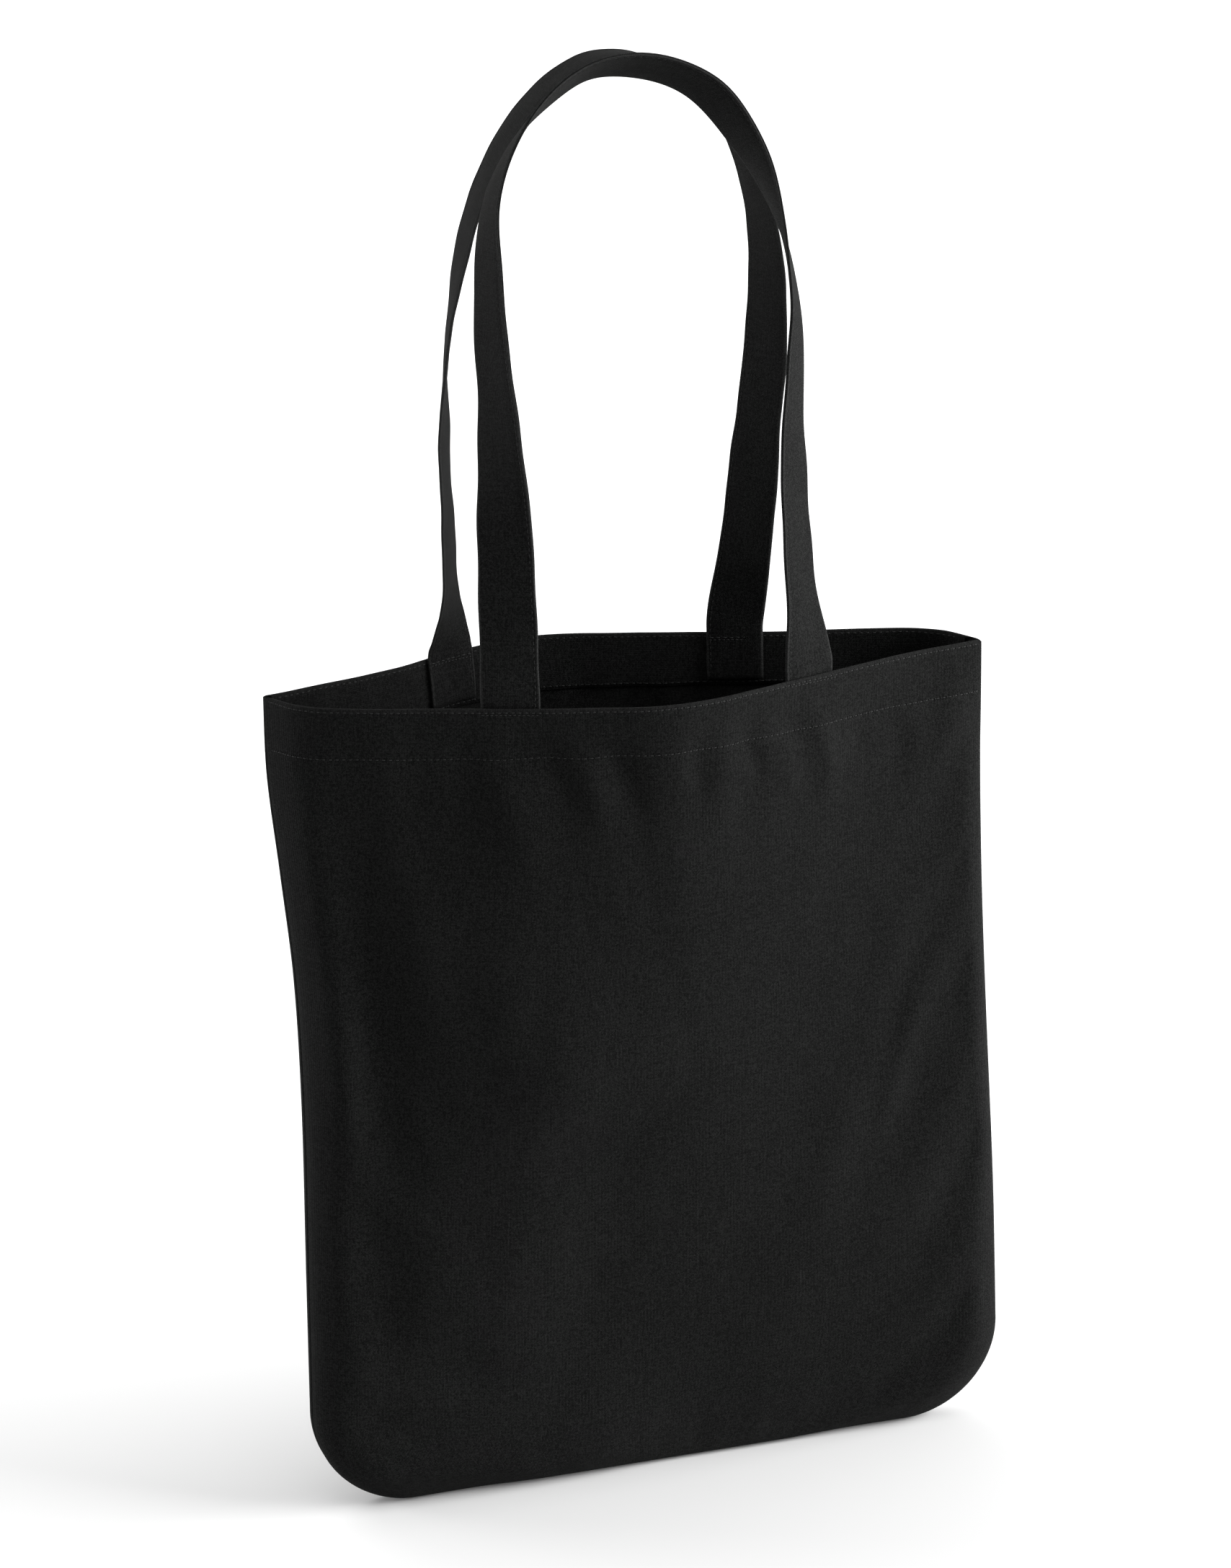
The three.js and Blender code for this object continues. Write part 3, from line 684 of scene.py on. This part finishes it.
def panelRows():
    # height, inset and how far the row is drawn in from the side seams, and the last row of the outside
    radius, top, turns = bag["cornerRadius"], bag["height"], panelMesh["turnRows"]
    arc = radius * (1 - np.cos(np.linspace(0, math.pi / 2, panelMesh["cornerRows"] + 1)))
    layer = bag["clothThickness"] + bag["pieceGap"]
    turnHeight = top - (layer + bag["clothThickness"]) / 2
    straight = np.linspace(radius, turnHeight, int((turnHeight - radius) / panelMesh["rowStep"]))[1:]
    rows = [(height, 0.0, 0.0) for height in (*arc, *straight)]
    lastOuter = len(rows) - 1
    for step in range(1, turns + 1):
        angle = math.pi * step / turns
        height = turnHeight + layer / 2 * math.sin(angle)
        rows.append((height, layer / 2 * (1 - math.cos(angle)), step / turns))
    hemRows = np.linspace(turnHeight, top - bag["hemDepth"], int(bag["hemDepth"] / panelMesh["rowStep"]))[1:]
    rows += [(height, layer, 1.0) for height in hemRows]
    return np.array(rows), lastOuter


def seamInward(x, height, side):
    # the way from the seam into the panel, level at the sides and turning up round the corners
    radius = bag["cornerRadius"]
    beyond = side * (x - seamX(side, np.full_like(x, radius))) + radius
    inCorner = height < radius
    inward = np.zeros((len(x), 3))
    inward[:, 0] = np.where(inCorner, -side * np.maximum(beyond, 0) / radius, -side)
    inward[:, 2] = np.where(inCorner, (radius - height) / radius, 0)
    return unit(inward)


def makePanel(panel):
    shares, (rows, lastOuter) = panelShares(), panelRows()
    drawn = (rows[:, 2] * bag["hemEndInset"] / bag["width"])[:, None]
    share = mix(drawn, 1 - drawn, shares[None, :])
    height = np.broadcast_to(rows[:, :1], share.shape)
    points = clothPoint(panel, share, height, rows[:, 1:2]).reshape(-1, 3)
    faces = gridFaces(*share.shape)
    fold = np.maximum(0, np.arange(len(rows)) - lastOuter) * panelMesh["rowStep"]
    v = np.where(fold > 0, rows[lastOuter, 0] + fold, rows[:, 0])
    uvs = np.stack([share * panelMesh["cutWidth"], np.broadcast_to(v[:, None], share.shape)], axis=-1)
    uvs = uvs.reshape(-1, 2)
    # the cut edge turns into the bag along the side and bottom seam
    columns = share.shape[1]
    left = [i * columns for i in range(lastOuter, -1, -1)]
    right = [i * columns + columns - 1 for i in range(lastOuter + 1)]
    path = np.array([*left, *range(1, columns - 1), *right])
    seamPoints, seamShare, seamHeight = points[path], share.reshape(-1)[path], height.reshape(-1)[path]
    side = np.where(seamShare < 0.5, -1.0, 1.0)
    inward = seamInward(seamPoints[:, 0] - bag["originX"], seamHeight, side)
    turn, near = bag["seamTurn"], np.where(seamHeight > 0.93 * bag["height"], 0.3, 1)
    rings, ringUvs, previous = [], [], path
    for step in range(1, panelMesh["seamRows"] + 1):
        angle = step * math.pi / 2 / panelMesh["seamRows"]
        ring = seamPoints + inward * turn * (1 - math.cos(angle))
        ring[:, 1] -= panel["out"] * turn * math.sin(angle) * near
        rings.append(ring)
        ringUvs.append(uvs[path] + (side * 0.5 * step)[:, None] * np.array([1, 0]))
        current = len(points) + np.arange(len(path)) + (step - 1) * len(path)
        for k in range(len(path) - 1):
            faces.append([int(c) for c in (previous[k + 1], current[k + 1], current[k], previous[k])])
        previous = current
    allPoints, allUvs = np.vstack([points, *rings]), np.vstack([uvs, *ringUvs])
    if panel["out"] > 0:
        faces = [face[::-1] for face in faces]
    wearAndHoleShade = panelMesh["rimWear"] * hump(allPoints[:, 2], bag["height"], panelMesh["rimWearReach"])
    wearAndHoleShade[path] = np.maximum(wearAndHoleShade[path], panelMesh["seamWear"])
    piece = makeObject(f"{panel['name']}Panel", allPoints, faces, allUvs, canvas, wearAndHoleShade)
    solid = piece.modifiers.new("Solidify", "SOLIDIFY")
    solid.thickness, solid.offset, solid.use_even_offset = bag["clothThickness"] * mm, 0.0, False
    applyModifier(piece, solid)
    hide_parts(f"{panel['name']}_panel")
    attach(piece, "bag")
    return piece


for panel in (front, back):
    piece = makePanel(panel)
    print(piece.name, len(piece.data.polygons), "faces")


# the seam inside
seam = {
    "start": 1.4, "end": 8, "plyThickness": 0.58, "step": 3.0, "waver": 0.35,
    # stitches: length, width, height
    "lockInset": 3.2, "lockStitch": (2.5, 0.45, 0.34), "lockRise": 0.1,
    "overlockPitch": 2.3, "overlockRise": 0.12, "loopPlace": 0.82, "loopSlant": math.radians(78),
    "loopStitch": (3.0, 0.42, 0.36), "chainPlace": 0.62, "chainStitch": (2.4, 0.4, 0.34),
    "edgeStitch": (1.5, 0.9, 0.6), "edgeSlant": 0.7, "edgeRise": 0.25,
}
allowanceOutline = [
    (0, 0.95), (0.3, 1), (0.6, 1), (0.9, 1), (1, 0.85), (1, 0.12), (0.88, 0.02),
    (0.88, -0.02), (1, -0.12), (1, -0.85), (0.9, -1), (0.6, -1), (0.3, -1), (0, -0.95),
]


def seamPath(distance):
    # down the left side, round both corners and up the right side, a distance in from the seam
    top = bag["height"] - bag["hemDepth"] - bag["pieceGap"] - bag["clothThickness"]
    radius, step = bag["cornerRadius"], seam["step"]
    places = [(float(seamX(-1.0, h)) + distance, h) for h in np.arange(top, radius, -step)]
    for side in (-1, 1):
        cornerX = float(seamX(float(side), radius)) - side * radius
        angles = np.linspace(math.pi / 2, 0, 26) if side < 0 else np.linspace(0, math.pi / 2, 26)
        reach = radius - distance
        for angle in angles:
            places.append((cornerX + side * reach * math.sin(angle), radius - reach * math.cos(angle)))
        if side < 0:
            otherX = float(seamX(1.0, radius)) - radius
            count = int((otherX - cornerX) / step)
            places += [(mix(cornerX, otherX, k / count), distance) for k in range(1, count)]
    places += [(float(seamX(1.0, h)) - distance, h) for h in np.arange(radius + step, top, step)]
    x, h = np.array(places).T
    share = (x - seamX(-1.0, h)) / (seamX(1.0, h) - seamX(-1.0, h))
    y = (clothMiddle(front, share, h)[:, 1] + clothMiddle(back, share, h)[:, 1]) / 2
    return np.stack([x + bag["originX"], y, h + bag["clothThickness"] / 2], axis=-1)


def makeSeam():
    outer, inner = seamPath(seam["start"]), seamPath(seam["end"])
    waver = seam["waver"] * ripples(np.arange(len(inner)) * seam["step"], 0, 31, 5)
    inner = inner + unit(inner - outer) * waver[:, None]
    across = unit(inner - outer)
    along = unit(np.gradient(outer, axis=0))
    face = unit(np.cross(across, along))
    face = face * -np.sign(face[:, 1:2])
    ply = seam["plyThickness"]
    width = np.linalg.norm(inner - outer, axis=1)
    places = [outer + across * (width * u)[:, None] + face * w * ply for u, w in allowanceOutline]
    flat = [(u * (seam["end"] - seam["start"]), w * ply) for u, w in allowanceOutline]
    allowance = sweep("seamAllowance", np.stack(places, axis=1), flat, canvas)
    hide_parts("side_and_bottom_seam_allowance")
    # a lockstitch through both plies, and an overlock: slanted loops over the cut edge with a chain along
    lockPlace = (seam["lockInset"] - seam["start"]) / (seam["end"] - seam["start"])
    pitch = seam["overlockPitch"]
    rows, loops = [], []
    for side in (1, -1):
        path = mix(outer, inner, lockPlace) + face * side * (ply + seam["lockRise"])
        rows.append(stitches(*resample(path, face * side, seam["step"]), *seam["lockStitch"]))
        rise = face * side * (ply + seam["overlockRise"])
        path = mix(outer, inner, seam["loopPlace"]) + rise
        loop = resample(path, face * side, pitch)
        loops.append(stitches(*loop, *seam["loopStitch"], slant=seam["loopSlant"]))
        path = mix(outer, inner, seam["chainPlace"]) + rise
        loops.append(stitches(*resample(path, face * side, pitch), *seam["chainStitch"]))
    edge = resample(inner + across * seam["edgeRise"], across, pitch / 2)
    loops.append(stitches(*edge, *seam["edgeStitch"], slant=seam["edgeSlant"]))
    lockstitch = stitchPiece("seamLockstitch", rows)
    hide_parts("seam_lockstitch_thread")
    overlock = stitchPiece("seamOverlock", loops)
    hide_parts("seam_overlock_thread")
    for piece, slot in ((allowance, "bag_canvas"), (lockstitch, "thread"), (overlock, "thread")):
        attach(piece, "bag")


makeSeam()
print("seam made")

# rows of stitching round the mouth
mouthRows = {
    "rimDrop": 1.9, "hemDrop": 25.3, "endShare": 0.006, "insideTrim": 0.012, "wander": 0.12,
    # stitches, and the dark beads that paint the needle holes' shade: length, width, height
    "step": 3.2, "stitch": (1.8, 0.55, 0.4), "holeShade": (1.3, 1.0, 0.34), "holeOffset": 0.02,
    "tackDrop": 3.0, "tackStep": 2.1, "tack": (1.4, 0.5, 0.4), "sunk": 0.22,
}
strap = {
    "width": 28, "endLength": 23.5, "loopStart": 5.5, "footTurn": 14, "topGap": 1,
    "inset": 2.7, "halfThickness": 1.1, "step": 1.8, "edgeWear": 0.75,
    "stitchInset": 2, "stitchRise": 0.7, "stitchStep": 3.0, "stitch": (2.0, 0.45, 0.34),
    "holeShade": (0.9, 0.6, 0.26), "sewnReach": 0.46, "blendFrom": -1.5, "blendTo": 12.5,
}


def rowAlong(panel, drop, inset, start, end, step, size, offset=0.5):
    # a row of stitches below the rim, on the outside of the panel or, with a positive inset, the inside
    share = np.linspace(start, end, int((end - start) * 400) + 2)
    level = bag["height"] - drop + mouthRows["wander"] * np.sin(share * 61 + drop)
    path = clothPoint(panel, share, level, inset)
    away = -inwardOf(panel, share, np.minimum(level, bag["height"]))
    if inset > 0:
        away = -away
    return stitches(*resample(path, away, step, offset), *size)


def footShares(panel, foot, places):
    # shares along the rim for places across a strap's end, in strap widths from its middle
    gauge = clothPoint(panel, np.array([foot - 0.01, foot + 0.01]), bag["height"], strap["inset"])
    reach = strap["width"] * 0.01 / np.linalg.norm(gauge[1] - gauge[0])
    return foot + 2 * np.asarray(places) * reach


def makeMouthRows(panel):
    name, made = panel["name"], {}
    size, step, trim = mouthRows["stitch"], mouthRows["step"], mouthRows["insideTrim"]
    outside = -(bag["clothThickness"] / 2 + size[2] * mouthRows["sunk"])
    inside = bag["clothThickness"] + bag["pieceGap"] - outside
    start, end = mouthRows["endShare"], 1 - mouthRows["endShare"]
    kinds = (
        ("Rim", "rim_stitching", mouthRows["rimDrop"], outside, start, end),
        ("Hem", "hem_stitching", mouthRows["hemDrop"], outside, start, end),
        ("HemBobbin", "hem_bobbin_thread", mouthRows["hemDrop"], inside, start + trim, end - trim),
    )
    for label, node, *place in kinds:
        rows = [rowAlong(panel, *place, step, size)]
        # dark beads between the stitches, painted shade of the needle holes
        holeShades = [rowAlong(panel, *place, step, mouthRows["holeShade"], mouthRows["holeOffset"])]
        if label == "Rim":
            rows.append(rowAlong(panel, mouthRows["rimDrop"], inside, start + trim, end - trim, step, size))
        made[f"{name}{label}Row"] = (f"{name}_{node}", rows, holeShades)
    tackStep, onStrap = mouthRows["tackStep"], strap["inset"] + strap["halfThickness"]
    for foot, side in zip(panel["feet"], ("left", "right")):
        reach = footShares(panel, foot, [-0.5, 0.5])
        rows = [rowAlong(panel, mouthRows["tackDrop"], outside, *reach, tackStep, mouthRows["tack"])]
        sewn = footShares(panel, foot, [-strap["sewnReach"], strap["sewnReach"]])
        for drop, pitch in ((mouthRows["rimDrop"], step), (mouthRows["tackDrop"] + 0.2, tackStep)):
            rows.append(rowAlong(panel, drop, onStrap, *sewn, pitch, (pitch * 0.66, *size[1:])))
        made[f"{name}Handle{side.title()}Bartack"] = (f"{name}_handle_{side}_bartack", rows, ())
    for pieceName, (node, rows, holeShades) in made.items():
        piece = stitchPiece(pieceName, rows, holeShades)
        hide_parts(node)
        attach(piece, "bag")


for panel in (front, back):
    makeMouthRows(panel)
print("mouth rows sewn")


# handles
def loopCurve(points, perSpan=60):
    # a smooth curve through points, each span timed by the root of its length
    points = np.vstack([2 * points[0] - points[1], points, 2 * points[-1] - points[-2]])
    curve = []
    for k in range(1, len(points) - 2):
        p0, p1, p2, p3 = points[k - 1:k + 3]
        d0, d1, d2 = (math.sqrt(np.linalg.norm(b - a)) for a, b in ((p0, p1), (p1, p2), (p2, p3)))
        start = ((p1 - p0) / d0 - (p2 - p0) / (d0 + d1) + (p2 - p1) / d1) * d1
        end = ((p2 - p1) / d1 - (p3 - p1) / (d1 + d2) + (p3 - p2) / d2) * d1
        t = np.linspace(0, 1, perSpan, endpoint=False)[:, None]
        square = 3 * (p2 - p1) - 2 * start - end
        cube = 2 * (p1 - p2) + start + end
        curve.append(p1 + start * t + square * t**2 + cube * t**3)
    return np.vstack([*curve, points[-2:-1]])


def handleStations(panel):
    # places along the whole strap, with the ways across it, along it and out of its face
    top = bag["height"]
    feet = clothPoint(panel, np.array(panel["feet"]), top, strap["inset"])
    rise = max(height for _, height in panel["line"])
    topY = panel["out"] * (strap["width"] / 2 + strap["topGap"]) + bag["originY"]
    rim = top + bag["clothThickness"] / 2
    places = []
    for share, height in panel["line"]:
        place = mix(feet[0], feet[1], share)
        places.append((place[0], mix(place[1], topY, height / rise), rim + height))
    starts = feet.copy()
    starts[:, 2] = rim + strap["loopStart"]
    curve = loopCurve(np.vstack([starts[0], places, starts[1]]))
    curveLength = runLength(curve)
    loopLength = curveLength[-1]
    loop = placesAt(curve, curveLength, np.linspace(0, loopLength, 700))
    drop = np.linspace(-strap["endLength"], 0, 14)
    ends = [clothPoint(panel, np.full_like(drop, foot), top + drop, strap["inset"]) for foot in panel["feet"]]
    whole = np.vstack([ends[0], loop, ends[1][::-1]])
    length = runLength(whole)
    loopStart = length[len(drop)]
    count = int(length[-1] / strap["step"])
    at = np.linspace(0, length[-1], count)
    middle = placesAt(whole, length, at)
    for _ in range(3):
        middle[1:-1] = (middle[:-2] + 2 * middle[1:-1] + middle[2:]) / 4
    along = unit(np.gradient(middle, axis=0))
    share = clamped((at - loopStart) / loopLength)
    outward = np.tile([0.0, panel["out"], 0.0], (count, 1))
    outward = unit(outward - along * np.sum(outward * along, axis=1, keepdims=True))
    inward = np.cross(outward, along) * panel["out"]
    twist = np.radians(through(panel["twist"], share))[:, None]
    across = outward * np.cos(twist) + inward * np.sin(twist)
    footWays = []
    for foot, sign in zip(panel["feet"], (1, -1)):
        edge = clothPoint(panel, footShares(panel, foot, [-0.5, 0.5]), top, strap["inset"])
        footWays.append(unit(edge[1] - edge[0]) * sign)
    turned = eased((middle[:, 2] - top + 3) / strap["footTurn"])[:, None]
    footWay = np.where((share < 0.5)[:, None], footWays[0], footWays[1])
    across = mix(footWay, across, turned)
    across = unit(across - along * np.sum(across * along, axis=1, keepdims=True))
    face = unit(np.cross(across, along)) * -panel["out"]
    return {"middle": middle, "across": across, "face": face, "at": at, "share": share}


def strapPlaces(panel, stations, u, w):
    # places at u across and w above the middle: on the hem where it is sewn, free above it
    top = bag["height"]
    u, w = np.asarray(u), np.asarray(w)
    free = stations["middle"] + stations["across"] * u[..., None] + stations["face"] * w[..., None]
    height = stations["middle"][:, 2] - bag["clothThickness"] / 2
    first = stations["share"] < 0.5
    foot = np.where(first, panel["feet"][0], panel["feet"][1])
    reach = np.where(first, *[footShares(panel, f, [0.5])[0] - f for f in panel["feet"]])
    share = foot + np.where(first, 1, -1) * u / (strap["width"] / 2) * reach
    sewn = clothPoint(panel, share, np.minimum(height, top + 40), strap["inset"] - w)
    sewn[:, 2] = stations["middle"][:, 2]
    hold = (1 - eased((height - top + 3) / 7))[:, None]
    return mix(free, sewn, hold)


strapOutline = [  # folded on the left, and on the right the two turned-in edges with a slit between
    (-14, 0), (-13.85, 0.42), (-13.4, 0.7), (-12.4, 0.86), (-10, 0.98), (-6, 1.04), (-1, 1.06),
    (4, 1.04), (8, 0.96), (10.8, 0.86), (12, 0.62), (12.8, 0.78), (13.5, 0.84), (13.9, 0.7),
    (14.05, 0.42), (13.95, 0.16), (13.1, 0.02),
]
strapOutline += [(u, -w) for u, w in strapOutline[:0:-1]]


def strapFlutter(at, u, seed):
    # how far the strap stands off its middle
    return 0.16 * ripples(at, u, 26, seed, 5) + 0.3 * (u / 14) * ripples(at, 0, 60, seed + 5, 5)


def makeHandle(panel):
    name, stations = panel["name"], handleStations(panel)
    at, seed = stations["at"], 21 + panel["out"]
    frames = []
    for u, w in strapOutline:
        edge = 0.22 * ripples(at, 0, 34, seed + (3 if u > 0 else 9), 5) * (u / 14)
        frames.append(strapPlaces(panel, stations, u + edge, w + strapFlutter(at, u, seed)))
    edgeRub = np.array([strap["edgeWear"] if abs(u) > 13.3 else 0.0 for u, _ in strapOutline])
    turned = panel["out"] > 0
    piece = sweep(f"{name}Handle", np.stack(frames, axis=1), strapOutline, strapCanvas, turned, edgeRub)
    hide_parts(f"{name}_handle_loop", f"{name}_handle_left_end", f"{name}_handle_right_end")
    u, rows, holeShades = strap["width"] / 2 - strap["stitchInset"], [], []
    for side in (1, -1):
        w = side * strap["stitchRise"] + strapFlutter(at, u, seed)
        path = strapPlaces(panel, stations, np.full_like(at, u), w)
        row = path[3:-3], stations["face"][3:-3] * side, strap["stitchStep"]
        rows.append(stitches(*resample(*row), *strap["stitch"]))
        # dark beads between the stitches, painted shade of the needle holes
        holeShades.append(stitches(*resample(*row, 0.0), *strap["holeShade"]))
    stitching = stitchPiece(f"{name}HandleStitching", rows, holeShades)
    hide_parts(f"{name}_handle_edge_stitching")
    for made in (piece, stitching):
        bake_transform(made)
    return piece


for panel in (front, back):
    piece = makeHandle(panel)
    print(piece.name, len(piece.data.polygons), "faces")

# floor, light and camera
studio = {
    "floorSize": 24, "floorColour": (0.56, 0.56, 0.56), "world": 0.86,
    "key": {"place": (2.8, -1.0, 1.05), "size": 2.3, "power": 320},
    "fill": {"place": (-2.3, 1.5, 0.7), "size": 1.0, "power": 42},
    "above": {"place": (-0.4, -1.0, 3.4), "size": 2.4, "power": 16},
    "backdrop": {"place": (-0.6, 3.4, 2.6), "size": 4.0, "power": 240, "aim": (-0.9, 4.4, 0)},
}
camera = {
    "azimuth": -17.3, "elevation": 18.47, "distance": 2451.25, "roll": -1.31,
    "target": (-13.65, 0, 361.57), "focal": 115.84, "reach": 60,
}


def makeFloor():
    bpy.ops.mesh.primitive_plane_add(size=studio["floorSize"], location=(0, 0, -0.0003))
    floor = bpy.context.object
    floor.name = "studioFloor"
    material, tree, shader = newMaterial("palePaper")
    colour = (*studio["floorColour"], 1)
    setSockets(shader, {"Base Color": colour, "Roughness": 0.9, "Specular IOR Level": 0.1})
    floor.data.materials.append(material)


def makeLight(name, light):
    data = bpy.data.lights.new(name, "AREA")
    data.shape, data.size, data.energy = "SQUARE", light["size"], light["power"]
    lamp = bpy.data.objects.new(name, data)
    lamp.location = light["place"]
    aim = Vector(light.get("aim", (0, 0, 0.3))) - Vector(light["place"])
    lamp.rotation_euler = aim.to_track_quat("-Z", "Y").to_euler()
    collection.objects.link(lamp)


def makeCamera():
    azimuth, elevation, roll = (math.radians(camera[name]) for name in ("azimuth", "elevation", "roll"))
    level = math.cos(elevation)
    away = Vector((math.sin(azimuth) * level, -math.cos(azimuth) * level, math.sin(elevation)))
    right = Vector((math.cos(azimuth), math.sin(azimuth), 0))
    up = away.cross(right)
    rightRolled = right * math.cos(roll) + up * math.sin(roll)
    upRolled = up * math.cos(roll) - right * math.sin(roll)
    data = bpy.data.cameras.new("camera")
    data.lens, data.clip_end = camera["focal"], camera["reach"]
    viewer = bpy.data.objects.new("camera", data)
    turn = Matrix((rightRolled, upRolled, away)).transposed().to_4x4()
    place = (Vector(camera["target"]) + away * camera["distance"]) * mm
    viewer.matrix_world = Matrix.Translation(place) @ turn
    collection.objects.link(viewer)
    bpy.context.scene.camera = viewer


makeFloor()
for name in ("key", "fill", "above", "backdrop"):
    makeLight(name, studio[name])
world = bpy.data.worlds.new("studio")
world.use_nodes = True
setSockets(world.node_tree.nodes["Background"], {"Color": (1, 1, 1, 1), "Strength": studio["world"]})
bpy.context.scene.world = world
bpy.context.scene.view_settings.view_transform = "Standard"
makeCamera()
print("studio set")
